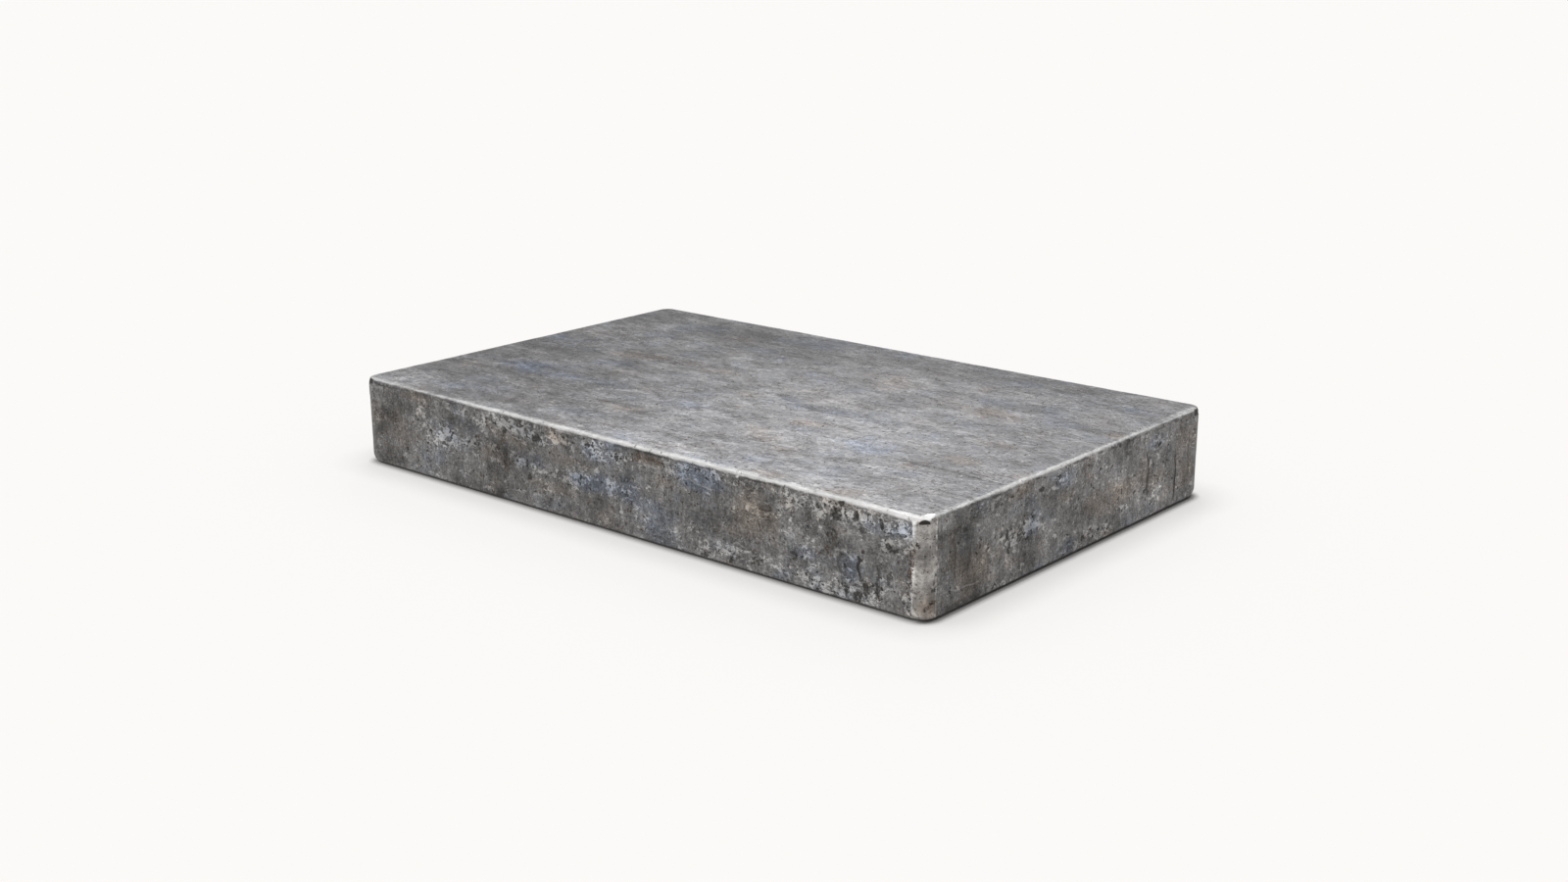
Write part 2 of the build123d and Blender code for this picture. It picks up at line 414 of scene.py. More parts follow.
            (0.001, 0.124, 0.003, 0.005, 0.7), (0.021, 0.074, 0.003, 0.004, 0.8),
            (0.0175, 0.058, 0.007, 0.005, 1.0), (0.013, 0.035, 0.007, 0.005, 0.6),
            (-0.012, 0.142, 0.003, 0.004, 0.7),
        ],
        # Painted dark reflections at the lower end of each other corner's top round
        "left_corner": [(0.012, 0.194, 0.014, 0.0064, 3.0)],
        "right_corner": [(-0.014, 0.193, 0.014, 0.007, 3.0)],
        "far_corner": [(0.0, 0.193, 0.01, 0.005, 1.4)],
    },
    # Scale rubbed through to bright steel, away from the rims
    "wear": {
        "near": [
            (-0.0225, 0.191, 0.006, 0.01, 1.5), (-0.012, 0.197, 0.012, 0.004, 1.4),
            (-0.021, 0.178, 0.004, 0.006, 0.5), (-0.018, 0.098, 0.004, 0.006, 0.4),
            (0.006, 0.1965, 0.01, 0.003, 1.5),
        ],
        "top": [(0.7935, -0.4815, 0.01, 0.014, 1.3)],
        "front": [
            (-0.217, 0.185, 0.003, 0.006, 0.8), (0.353, 0.189, 0.004, 0.003, 0.8),
            (0.655, 0.166, 0.006, 0.005, 0.45), (0.73, 0.1925, 0.06, 0.003, 0.9),
            (-0.13, 0.189, 0.03, 0.003, 0.4), (0.6, 0.191, 0.05, 0.003, 0.4),
        ],
    },
}

# How far a stroke wanders beside its straight line, from one extreme to the other, and how far off it is
# told. A point with no stroke near it reads a number beyond any stroke's width.
STROKE_WANDER = 0.012
TOP_STROKE_REACH = 0.013
SIDE_STROKE_REACH = 0.0075
NO_STROKE = 9.0

# Cracks, seams and scratches: start, end, half width, and dark below nothing or pale above it
STROKES = {
    "front": [
        ((0.645, 0.1), (0.655, 0.05), 0.0034, -1.0), ((0.664, 0.05), (0.667, 0.014), 0.0034, -0.9),
        ((0.69, 0.088), (0.693, 0.018), 0.003, -0.8), ((0.718, 0.087), (0.72, 0.053), 0.0026, -0.7),
        ((0.604, 0.102), (0.607, 0.048), 0.0032, -0.6), ((-0.312, 0.118), (-0.32, 0.078), 0.0035, -0.7),
        ((-0.7, 0.19), (-0.697, 0.09), 0.0016, -0.4), ((-0.652, 0.075), (-0.655, 0.045), 0.0014, -0.5),
        ((0.16, 0.125), (0.163, 0.1), 0.0018, -0.6), ((0.535, 0.032), (0.533, 0.018), 0.0018, -0.8),
        ((-0.45, 0.148), (-0.36, 0.152), 0.0014, -0.4), ((0.2, 0.158), (0.3, 0.15), 0.0016, 0.5),
        ((0.1, 0.164), (0.15, 0.163), 0.0014, 0.7), ((0.455, 0.15), (0.475, 0.14), 0.0016, 0.8),
        ((0.44, 0.052), (0.5, 0.056), 0.0014, 0.5), ((0.33, 0.052), (0.38, 0.05), 0.0014, 0.6),
    ],
    "right": [
        ((0.268, 0.15), (0.272, 0.05), 0.0045, -0.8), ((0.385, 0.12), (0.388, 0.016), 0.0042, -1.0),
        ((0.292, 0.13), (0.294, 0.08), 0.003, -0.5), ((0.352, 0.15), (0.35, 0.095), 0.0034, -0.5),
        ((-0.414, 0.135), (-0.412, 0.06), 0.0032, -0.5), ((-0.37, 0.12), (-0.372, 0.06), 0.003, -0.5),
        ((0.44, 0.15), (0.442, 0.04), 0.003, -0.45), ((-0.31, 0.09), (-0.308, 0.04), 0.003, -0.45),
        ((-0.46, 0.046), (-0.33, 0.04), 0.0016, 0.4), ((-0.243, 0.09), (-0.241, 0.062), 0.0026, -0.9),
    ],
    "top": [
        ((-0.62, 0.262), (-0.36, 0.256), 0.0035, 0.5), ((0.16, 0.256), (0.36, 0.254), 0.0026, 0.4),
        ((0.4, 0.253), (0.6, 0.25), 0.0026, 0.4), ((0.17, -0.004), (0.29, -0.008), 0.0026, 0.8),
        ((0.03, -0.016), (0.11, -0.04), 0.004, -0.6), ((0.13, -0.054), (0.24, -0.07), 0.004, -0.6),
        ((0.5, -0.244), (0.8, -0.247), 0.0026, -0.8), ((-0.79, 0.012), (-0.36, 0.008), 0.003, -0.5),
        ((-0.45, -0.105), (-0.27, -0.102), 0.0034, -0.6), ((-0.22, -0.107), (-0.1, -0.104), 0.003, -0.4),
        ((-0.085, -0.032), (-0.055, -0.04), 0.005, -0.6), ((-0.79, -0.266), (-0.64, -0.262), 0.0034, -0.6),
        ((-0.69, -0.495), (-0.63, -0.445), 0.004, 0.7), ((-0.72, -0.47), (-0.68, -0.43), 0.003, 0.6),
        ((0.444, -0.082), (0.452, -0.089), 0.004, -1.0), ((0.6, 0.035), (0.79, 0.028), 0.003, 0.4),
        ((0.62, 0.012), (0.72, 0.008), 0.003, -0.5), ((-0.15, -0.375), (-0.16, -0.4), 0.0035, 0.5),
    ],
}

# What the hidden faces get by chance: a kind of patch, how many on a long face, its half sizes and strength
CHANCE_PATCHES = (
    ("crust", 22, (0.02, 0.09), (0.010, 0.030), (0.5, 1.1)),
    ("crust", 7, (0.03, 0.07), (0.02, 0.06), (-0.7, -0.4)),
    ("shade", 14, (0.02, 0.06), (0.01, 0.05), (-0.25, -0.08)),
    ("tint", 14, (0.03, 0.09), (0.015, 0.05), (0.4, 0.9)),
    ("tint", 9, (0.03, 0.09), (0.012, 0.03), (-1.0, -0.4)),
    ("rust", 4, (0.006, 0.02), (0.006, 0.03), (0.5, 0.9)),
    ("blot", 18, (0.004, 0.012), (0.004, 0.010), (0.7, 1.2)),
)
CHANCE_CRACKS = 9
CRACK_LENGTHS = (0.02, 0.07)
CRACK_LEAN = 0.004
CRACK_HALF_WIDTH = 0.002


def smooth(value, low, high):
    """0 below low and 1 above high, with a smooth climb between them."""
    share = np.clip((value - low) / (high - low), 0, 1)
    return share * share * (3 - 2 * share)


def soft_noise(points, cell, seed):
    """A smooth random field from 0 to 1, with features about one cell across."""
    spots = (points - (np.array(LOW) - cell)) / cell
    size = np.ceil(spots.max(axis=0)).astype(int) + 2
    lattice = np.random.default_rng(seed).random(size)
    base = np.floor(spots).astype(int)
    share = spots - base
    share = share * share * (3 - 2 * share)
    total = np.zeros(len(points))
    for step in np.ndindex(2, 2, 2):
        weight = np.prod(np.where(step, share, 1 - share), axis=1)
        total += weight * lattice[tuple((base + step).T)]
    return total


def stations():
    """The points that every ring has: a place on the rectangle of the corner centres, and the way out."""
    places, outward = [], []
    corners = [(1, -1), (1, 1), (-1, 1), (-1, -1)]
    centres = np.array([CORNER_X, CORNER_Y])
    for number, (start, end) in enumerate(zip(corners, corners[1:] + corners[:1])):
        steps = RUN_X if number % 2 else RUN_Y
        facing = number * math.pi / 2
        for share in np.arange(steps) / steps:
            places.append((np.array(start) * (1 - share) + np.array(end) * share) * centres)
            outward.append([math.cos(facing), math.sin(facing)])
        for share in np.arange(CORNER_STEPS) / CORNER_STEPS:
            turn = facing + math.pi / 2 * share
            places.append(np.array(end) * centres)
            outward.append([math.cos(turn), math.sin(turn)])
    return np.array(places), np.array(outward)


def section():
    """The slab's section as rings, from the top's grid down the side to the underside's. A ring is how far
    it lies out from the corner centres, its height, the upward share of its normal, and how coarse it is."""
    flat_reach = CORNER_RADIUS - EDGE_RADIUS
    rings = [(share * flat_reach, TOP, 1, level) for share, level in TOP_RINGS]
    for turn in np.linspace(0, math.pi / 2, TOP_ROUND_STEPS + 1):
        height = TOP - EDGE_RADIUS * (1 - math.cos(turn))
        rings.append((flat_reach + EDGE_RADIUS * math.sin(turn), height, math.cos(turn), 0))
    rings += [(CORNER_RADIUS, TOP - EDGE_RADIUS - depth, 0, 0) for depth in LIP_DEPTHS]
    side_top = TOP - EDGE_RADIUS - LIP_DEPTHS[-1]
    heights = np.linspace(side_top, BOTTOM + EDGE_RADIUS, SIDE_ROWS + 1)[1:-1]
    rings += [(CORNER_RADIUS, height, 0, 0) for height in heights]
    for turn in np.linspace(0, math.pi / 2, UNDER_ROUND_STEPS + 1):
        height = BOTTOM + EDGE_RADIUS * (1 - math.sin(turn))
        rings.append((flat_reach + EDGE_RADIUS * math.cos(turn), height, -math.sin(turn), 0))
    return rings + [(share * flat_reach, BOTTOM, -1, level) for share, level in UNDER_RINGS]


class Surface:
    """The points, normals and faces of the slab's skin while it is put together."""

    def __init__(self):
        self.points, self.normals, self.faces = [], [], []

    def ring(self, places, outward, reach, height, upward, level):
        """Adds one ring of points and returns their numbers."""
        stride = 2 ** level
        sideways = math.sqrt(1 - upward * upward)
        first = len(self.points)
        for spot, way in zip(places[::stride], outward[::stride]):
            self.points.append([*(spot + way * reach), height])
            self.normals.append([*(way * sideways), upward])
        return list(range(first, len(self.points)))

    def grid(self, height, upward, level):
        """Adds the flat grid inside the corner centres and returns the numbers of its points, by row."""
        stride = 2 ** level
        columns, rows = RUN_X // stride, RUN_Y // stride
        first = len(self.points)
        for across in np.linspace(-CORNER_Y, CORNER_Y, rows + 1):
            for along in np.linspace(-CORNER_X, CORNER_X, columns + 1):
                self.points.append([along, across, height])
                self.normals.append([0, 0, upward])
        numbers = first + np.arange((rows + 1) * (columns + 1)).reshape(rows + 1, columns + 1)
        for row in range(rows):
            for column in range(columns):
                near = [numbers[row, column], numbers[row, column + 1]]
                corners = near + [numbers[row + 1, column + 1], numbers[row + 1, column]]
                self.face(corners if upward > 0 else corners[::-1])
        return numbers

    def rim_of(self, numbers):
        """The grid's border as a ring that matches the stations: a corner comes once for each step."""
        rows, columns = numbers.shape[0] - 1, numbers.shape[1] - 1
        repeats = CORNER_STEPS * columns // RUN_X
        ring = [*numbers[:-1, columns]] + [numbers[rows, columns]] * repeats
        ring += [*numbers[rows, :0:-1]] + [numbers[rows, 0]] * repeats
        ring += [*numbers[:0:-1, 0]] + [numbers[0, 0]] * repeats
        return ring + [*numbers[0, :-1]] + [numbers[0, columns]] * repeats

    def face(self, corners):
        """Adds a face, without the corners that come twice."""
        kept = [corner for number, corner in enumerate(corners) if corner != corners[number - 1]]
        if len(kept) > 2:
            self.faces.append([int(corner) for corner in kept])

    def join(self, before, after):
        """Faces between two rings. One of them may have twice as many points as the other."""
        if len(before) == len(after):
            for here in range(len(before)):
                there = (here + 1) % len(before)
                self.face([after[here], after[there], before[there], before[here]])
        elif len(after) > len(before):
            for here in range(len(before)):
                there = (here + 1) % len(before)
                left, middle, right = (after[(2 * here + step) % len(after)] for step in range(3))
                self.face([left, middle, before[here]])
                self.face([middle, before[there], before[here]])
                self.face([middle, right, before[there]])
        else:
            for here in range(len(after)):
                there = (here + 1) % len(after)
                left, middle, right = (before[(2 * here + step) % len(before)] for step in range(3))
                self.face([after[here], middle, left])
                self.face([after[here], after[there], middle])
                self.face([after[there], right, middle])


def slab_surface():
    """The whole closed skin, before its relief."""
    skin = Surface()
    places, outward = stations()
    before = skin.rim_of(skin.grid(TOP, 1, TOP_LEVEL))
    for reach, height, upward, level in section():
        after = skin.ring(places, outward, reach, height, upward, level)
        skin.join(before, after)
        before = after
    skin.join(before, skin.rim_of(skin.grid(BOTTOM, -1, UNDER_LEVEL)))
    return np.array(skin.points), np.array(skin.normals), skin.faces


def corner_way(points, normals, side_x, side_y):
    """How far each point lies round the corner from its middle, growing anticlockwise seen from above."""
    turn = np.arctan2(normals[:, 1], normals[:, 0]) - math.atan2(side_y, side_x)
    turn = (turn + math.pi) % (2 * math.pi) - math.pi
    beyond_x = (CORNER_X - side_x * points[:, 0]) * (np.abs(normals[:, 0]) < SQUARE)
    beyond_y = (CORNER_Y - side_y * points[:, 1]) * (np.abs(normals[:, 1]) < SQUARE)
    return turn * CORNER_RADIUS + np.sign(turn) * (beyond_x + beyond_y)


def face_places(points, normals):
    """For each face: how much each point belongs to it, and its place along and up the face."""
    x, y, z = points.T
    toward_x, toward_y, toward_z = normals.T
    on_side = 1 - smooth(np.abs(toward_z), *TOWARD_FLAT)
    places = {
        "top": (smooth(toward_z, *TOWARD_FLAT), x, y),
        "front": (smooth(-toward_y, *TOWARD_SIDE), x, z),
        "back": (smooth(toward_y, *TOWARD_SIDE), x, z),
        "right": (smooth(toward_x, *TOWARD_SIDE), y, z),
        "left": (smooth(-toward_x, *TOWARD_SIDE), y, z),
    }
    corners = {"near": (1, -1), "right_corner": (1, 1), "far_corner": (-1, 1), "left_corner": (-1, -1)}
    for name, (side_x, side_y) in corners.items():
        way = corner_way(points, normals, side_x, side_y)
        here = (side_x * x > LENGTH / 4) & (side_y * y > WIDTH / 4)
        on_round = 1 - smooth(np.abs(way), HALF_ARC, HALF_ARC + CORNER_FADE)
        places[name] = (here * on_side * on_round, way, z)
    return places


def chance_marks(half_length, seed):
    """Patches by kind, and cracks, for a face that the photograph doesn't show."""
    random = np.random.default_rng(seed)
    patches = {}
    for kind, count, half_lengths, half_heights, strengths in CHANCE_PATCHES:
        for number in range(round(count * half_length / (LENGTH / 2))):
            place = (random.uniform(-half_length, half_length), random.uniform(0.01, 0.19))
            size = (random.uniform(*half_lengths), random.uniform(*half_heights))
            patches.setdefault(kind, []).append((*place, *size, random.uniform(*strengths)))
    cracks = []
    for number in range(CHANCE_CRACKS):
        along, low = random.uniform(-half_length, half_length), random.uniform(0.02, 0.10)
        top = low + random.uniform(*CRACK_LENGTHS)
        foot = along + random.uniform(-CRACK_LEAN, CRACK_LEAN)
        cracks.append(((along, top), (foot, low), CRACK_HALF_WIDTH, -random.uniform(0.4, 0.9)))
    return patches, cracks


def patch_marks(kind, patches, places):
    """The field of one kind of patch. Where patches overlap, shades and tints add up, and so does what is
    below nothing, and otherwise the strongest counts."""
    total = np.zeros(len(places["top"][0]))
    for face, listed in patches.items():
        weight, along, up = places[face]
        for place, level, half_length, half_height, strength in listed:
            away = np.hypot((along - place) / half_length, (up - level) / half_height)
            share = strength * weight * (1 - smooth(away, *PATCH_FADE))
            adds_up = kind in ("shade", "tint") or strength < 0
            total = total + share if adds_up else np.maximum(total, share)
    return total


def stroke_marks(points, strokes, places):
    """How many half widths each point lies beside its nearest stroke, signed, and that stroke's tone."""
    beside = np.full(len(points), NO_STROKE)
    tone = np.zeros(len(points))
    wander = soft_noise(points, cell=0.018, seed=71) - 0.5
    for face, listed in strokes.items():
        weight, along, up = places[face]
        reach = TOP_STROKE_REACH if face == "top" else SIDE_STROKE_REACH
        for start, end, half_width, strength in listed:
            run = np.subtract(end, start)
            length = np.hypot(*run)
            share = ((along - start[0]) * run[0] + (up - start[1]) * run[1]) / length ** 2
            aside = ((along - start[0]) * run[1] - (up - start[1]) * run[0]) / length + wander * STROKE_WANDER
            width = half_width * np.sqrt(np.clip(1 - (2 * share - 1) ** 2, 0.001, 1))
            nearer = (weight > 0.5) & (np.abs(aside) < reach) & (share > 0) & (share < 1)
            nearer &= np.abs(aside / width) < np.abs(beside)
            beside = np.where(nearer, aside / width, beside)
            tone = np.where(nearer, strength, tone)
    return beside, tone


def along_rims(table, x, y, by_end):
    """A table's values beside each point, blended where two rims meet."""
    along = np.where(y < 0, np.interp(x, *table["front"]), np.interp(x, *table["back"]))
    across = np.where(x > 0, np.interp(y, *table["right"]), np.interp(y, *table["left"]))
    return along + (across - along) * by_end


def rim_wear(points, upward):
    """How far the rims are rubbed bright: most on their rounds, and fading out over the top and the sides."""
    x, y, z = points.T
    past_x, past_y = np.abs(x) - CORNER_X, np.abs(y) - CORNER_Y
    by_end = smooth(past_x - past_y, 0.002, 0.024)
    rubbed = along_rims(RIM_WEAR, x, y, by_end) * (0.92 + 0.16 * soft_noise(points, cell=0.06, seed=8))
    spread = along_rims(RIM_SPREAD, x, y, by_end)
    reach = RUBBED_HEIGHT + RUBBED_GROWTH * (rubbed - SLIGHT_WEAR)
    on_round = smooth(z, TOP - reach - 0.0034, TOP - reach + 0.0030) * (1 - smooth(upward, 0.92, 1.0))
    past_flat = np.hypot(np.maximum(past_x, 0), np.maximum(past_y, 0))
    past_flat += np.minimum(np.maximum(past_x, past_y), 0)
    fade = RIM_FADE + RIM_FADE * smooth(spread, 0.5, 0.9)
    on_top = smooth(upward, 0.85, 0.95) * smooth(past_flat - CORNER_RADIUS + EDGE_RADIUS, -fade, 0.002)
    return rubbed * np.maximum(on_round, spread * on_top)


def foot_wear(points):
    """How far the foot of each corner is rounded away, beyond the edge's own round."""
    x, y, z = points.T
    in_corner = smooth(np.abs(x) - CORNER_X, -FOOT_BLEND, FOOT_BLEND)
    in_corner *= smooth(np.abs(y) - CORNER_Y, -FOOT_BLEND, FOOT_BLEND)
    depth = np.zeros(len(points))
    for (side_x, side_y), full in FOOT_WEAR.items():
        depth += full * (side_x * x > 0) * (side_y * y > 0)
    ends, is_full = FOOT_HEIGHTS
    return depth * in_corner * smooth(z, BOTTOM + ends, BOTTOM + is_full)


def slab_marks(points, normals):
    """What the material reads at each point, as named fields."""
    places = face_places(points, normals)
    patches = {kind: dict(faces) for kind, faces in PATCHES.items()}
    strokes = dict(STROKES)
    for face, half_length, seed in (("back", LENGTH / 2, 15), ("left", WIDTH / 2, 16)):
        by_chance, strokes[face] = chance_marks(half_length, seed)
        for kind, listed in by_chance.items():
            patches[kind][face] = listed
    marks = {kind: patch_marks(kind, faces, places) for kind, faces in patches.items()}
    upward = normals[:, 2]
    marks["wear"] = np.maximum(marks["wear"], rim_wear(points, upward))
    marks["side"] = 1 - smooth(upward, 0.2, 0.9)
    marks["near"] = places["near"][0]
    marks["corner_way"] = np.clip(places["near"][1], -WAY_LIMIT, WAY_LIMIT)
    other_corners = [places[name][0] for name in ("right_corner", "far_corner", "left_corner")]
    marks["corner"] = np.maximum.reduce(other_corners)
    marks["stroke"], marks["stroke_tone"] = stroke_marks(points, strokes, places)
    return marks


def reflection_spot_hollow(points, marks):
    """How deep the dark spot under the near corner's rim, a painted dark reflection, is sunk."""
    across = (marks["corner_way"] - REFLECTION_SPOT_WAY) / REFLECTION_SPOT_HALF_WIDTH
    above = (points[:, 2] - REFLECTION_SPOT_FOOT) / REFLECTION_SPOT_HEIGHT
    arch = (1 - smooth(np.hypot(across, above), 0.6, 1.1)) * smooth(above, -0.1, 0.3)
    return REFLECTION_SPOT_DEPTH * marks["near"] * arch


def relief(points, normals, marks):
    """How far each point stands out from the true form."""
    waves = BROAD_WAVES * (soft_noise(points, cell=0.22, seed=3) - 0.5)
    waves += FINE_WAVES * (soft_noise(points, cell=0.07, seed=4) - 0.5)
    dents = -WORN_DENTS * marks["wear"] * smooth(soft_noise(points, cell=0.014, seed=5), 0.68, 0.92)
    broken = soft_noise(points, cell=0.02, seed=6)
    crust = CRUST_RISE * smooth(marks["crust"] + broken - 0.5, 0.35, 0.65)
    grain = GRAIN_RISE * marks["side"] * (soft_noise(points, cell=0.010, seed=7) - 0.5)
    blots = -BLOT_DEPTH * np.clip(marks["blot"], 0, 1)
    stands_out = waves + dents + crust + grain + blots - foot_wear(points) - reflection_spot_hollow(points, marks)
    return np.where(normals[:, 2] < -0.5, np.minimum(stands_out, 0), stands_out)


def slab_piece():
    """The slab as one closed mesh with its marks as attributes."""
    points, normals, faces = slab_surface()
    marks = slab_marks(points, normals)
    points = points + normals * relief(points, normals, marks)[:, None]
    mesh = bpy.data.meshes.new("slab_skin")
    mesh.from_pydata(points.tolist(), [], faces)
    mesh.polygons.foreach_set("use_smooth", [True] * len(mesh.polygons))
    for name, values in marks.items():
        attribute = mesh.attributes.new(name, "FLOAT", "POINT")
        attribute.data.foreach_set("value", values.astype(np.float32))
    mesh.update()
    piece = bpy.data.objects.new("slab", mesh)
    bpy.context.scene.collection.objects.link(piece)
    return piece


class Nodes:
    """Puts one node tree together: each method adds a node and returns its output."""

    def __init__(self, tree):
        self.tree = tree
        tree.nodes.clear()

    def feed(self, socket, value):
        if isinstance(value, bpy.types.NodeSocket):
            self.tree.links.new(value, socket)
        else:
            socket.default_value = value

    def add(self, kind, settings, inputs, output=0):
        node = self.tree.nodes.new(kind)
        for name, value in settings.items():
            setattr(node, name, value)
        for name, value in inputs.items():
            self.feed(node.inputs[name], value)
        return node.outputs[output] if len(node.outputs) else node

    def math(self, operation, *values):
        return self.add("ShaderNodeMath", {"operation": operation}, dict(enumerate(values)))

    def scaled(self, value, factor, plus=0.0):
        """The value times the factor, plus a number."""
        return self.math("MULTIPLY_ADD", value, factor, plus)

    def swing(self, noise, ratio):
        """The ratio to the power of the noise: a factor about 1 that goes as far to the pale as to the dark."""
        return self.math("POWER", ratio, noise)

    def both(self, first, second):
        return self.math("MULTIPLY", first, second)

    def without(self, value):
        return self.math("SUBTRACT", 1.0, value)

    def mark(self, name):
        return self.add("ShaderNodeAttribute", {"attribute_name": name}, {}, "Fac")

    def place(self):
        return self.add("ShaderNodeTexCoord", {}, {}, "Object")

    def along(self):
        return self.add("ShaderNodeSeparateXYZ", {}, {0: self.place()}, "X")

    def height(self):
        return self.add("ShaderNodeSeparateXYZ", {}, {0: self.place()}, "Z")

    def noise(self, cell, seed, stretch=(1, 1, 1), detail=4, rough=0.55, twist=0.0):
        """Noise about 0 with a standard deviation of 1, and features about one cell across."""
        scale = [1 / (cell * along) for along in stretch]
        inputs = {0: self.place(), 1: scale, 2: [seed * step for step in SEED_STEPS]}
        spot = self.add("ShaderNodeVectorMath", {"operation": "MULTIPLY_ADD"}, inputs)
        inputs = {"Vector": spot, "Scale": 1.0, "Detail": detail, "Roughness": rough, "Distortion": twist}
        raw = self.add("ShaderNodeTexNoise", {"noise_dimensions": "3D"}, inputs)
        octaves = rough ** np.arange(detail + 1)
        spread = OCTAVE_SPREAD * np.linalg.norm(octaves) / octaves.sum()
        return self.scaled(raw, 1 / spread, -0.5 / spread)

    def climb(self, value, low, high):
        """0 at low and 1 at high, smoothly between. Low may be the greater."""
        inputs = {"Value": value, "From Min": low, "From Max": high, "To Min": 0.0, "To Max": 1.0}
        return self.add("ShaderNodeMapRange", {"interpolation_type": "SMOOTHSTEP", "clamp": True}, inputs)

    def climb_past(self, value, start, steps):
        """A climb whose two ends are given from a start."""
        return self.climb(value, start + steps[0], start + steps[1])

    def ridge(self, noise, half_width):
        """1 along the noise's middle contour, which wanders like a worm, and 0 away from it."""
        return self.climb(self.math("ABSOLUTE", noise), half_width, half_width * 0.3)

    def toned(self, colour, factor):
        """The colour times a number."""
        colour = colour[:3] if isinstance(colour, tuple) else colour
        return self.add("ShaderNodeVectorMath", {"operation": "SCALE"}, {0: colour, 3: factor})

    def blend(self, factor, first, second):
        """Between two colours."""
        return self.add("ShaderNodeMix", {"data_type": "RGBA"}, {0: factor, 6: first, 7: second}, 2)

    def tinted(self, factor, colour, tint):
        """The colour multiplied by the tint, as far as the factor goes."""
        settings = {"data_type": "RGBA", "blend_type": "MULTIPLY"}
        return self.add("ShaderNodeMix", settings, {0: factor, 6: colour, 7: tint}, 2)

    def between(self, factor, first, second):
        """Between two numbers."""
        return self.add("ShaderNodeMix", {"data_type": "FLOAT"}, {0: factor, 2: first, 3: second}, 0)


def top_scale(n):
    """The top's mill scale: its colour, its height and how dull it is."""
    clouds = n.noise(cell=0.17, seed=1, stretch=(1.5, 1, 1), detail=3, rough=0.8)
    mottle = n.noise(cell=0.045, seed=2, stretch=(2, 1, 1), detail=4, rough=0.85, twist=0.4)
    grain = n.noise(cell=0.010, seed=7, stretch=(1.3, 1, 1), detail=2, rough=1.0)
    factor = n.both(n.scaled(clouds, 0.07, 1.0), n.swing(mottle, 1.15))
    factor = n.both(factor, n.swing(grain, 1.125))
    wisps = n.ridge(n.noise(cell=0.06, seed=3, stretch=(2.5, 1, 1), detail=4, rough=0.65, twist=0.8), 0.35)
    dark_wisps = n.both(wisps, n.climb(n.noise(cell=0.10, seed=4, stretch=(1.5, 1, 1), detail=3), 0.3, 1.3))
    pale_wisps = n.both(wisps, n.climb(n.noise(cell=0.10, seed=5, stretch=(1.5, 1, 1), detail=3), 0.3, 1.3))
    factor = n.both(factor, n.scaled(dark_wisps, -0.03, 1.0))
    factor = n.both(factor, n.scaled(pale_wisps, 0.18, 1.0))
    colour = n.toned(TOP_SCALE, factor)
    lace = n.noise(cell=0.016, seed=6, stretch=(1.5, 1, 1), detail=3, rough=0.75, twist=0.8)
    flaked = n.climb(n.scaled(lace, 0.6, n.scaled(n.mark("crust"), 1.5)), 0.9, 1.3)
    colour = n.blend(n.both(flaked, 0.4), colour, CRUST_CREST)
    dull = n.scaled(mottle, 0.03, 0.33)
    height = n.scaled(mottle, TOP_MOTTLE_BUMP, n.scaled(wisps, WISP_BUMP))
    return colour, height, dull


def side_scale(n):
    """The sides' rough scale with its crackle, crust and pits: its colour, its height and how dull it is."""
    mottle = n.noise(cell=0.09, seed=11, stretch=(1.2, 1.2, 1), detail=5, rough=0.78)
    streaks = n.noise(cell=0.014, seed=12, stretch=(1, 1, 5), detail=3, rough=0.8)
    grit = n.noise(cell=0.0045, seed=18, detail=1, rough=0.8)
    colour = n.toned(SIDE_SCALE, n.both(n.scaled(mottle, 0.22, 1.0), n.scaled(streaks, 0.13, 1.0)))
    colour = n.toned(colour, n.scaled(grit, 0.19, 1.0))
    cluster = n.noise(cell=0.035, seed=14, stretch=(1.3, 1.3, 1), detail=3, rough=0.7)
    strength = n.scaled(cluster, 0.20, n.mark("crust"))
    worms = n.ridge(n.noise(cell=0.009, seed=13, detail=2, rough=0.7, twist=1.0), 0.6)
    colour = n.blend(n.both(n.both(worms, n.climb(strength, -0.4, 0.4)), 0.30), colour, CRACKLE)
    lace = n.noise(cell=0.012, seed=15, stretch=(1.3, 1.3, 1), detail=3, rough=0.85, twist=0.4)
    level = n.scaled(lace, 0.80, n.scaled(strength, 1.5))
    flaked = n.climb(level, 1.00, 1.30)
    crusty = n.climb(strength, 0.1, 0.9)
    between_flakes = n.both(crusty, n.without(flaked))
    colour = n.toned(colour, n.scaled(between_flakes, -0.16, 1.0))
    crest = n.climb(level, 1.4, 2.2)
    flakes = n.toned(n.blend(crest, CRUST, CRUST_CREST), n.scaled(mottle, 0.18, 1.0))
    colour = n.blend(n.both(flaked, 0.74), colour, flakes)
    holes = n.noise(cell=0.011, seed=19, stretch=(1.2, 1.2, 1), detail=1, rough=0.7)
    pitted = n.climb(n.scaled(crusty, 0.9, holes), 2.05, 2.40)
    colour = n.blend(n.both(pitted, 0.88), colour, PIT_AND_SHADOW)
    height = n.scaled(mottle, SIDE_MOTTLE_BUMP, n.scaled(flaked, FLAKE_BUMP))
    height = n.scaled(worms, WORM_BUMP, height)
    height = n.scaled(pitted, PIT_BUMP, height)
    return colour, height, n.scaled(flaked, 0.10, 0.52)


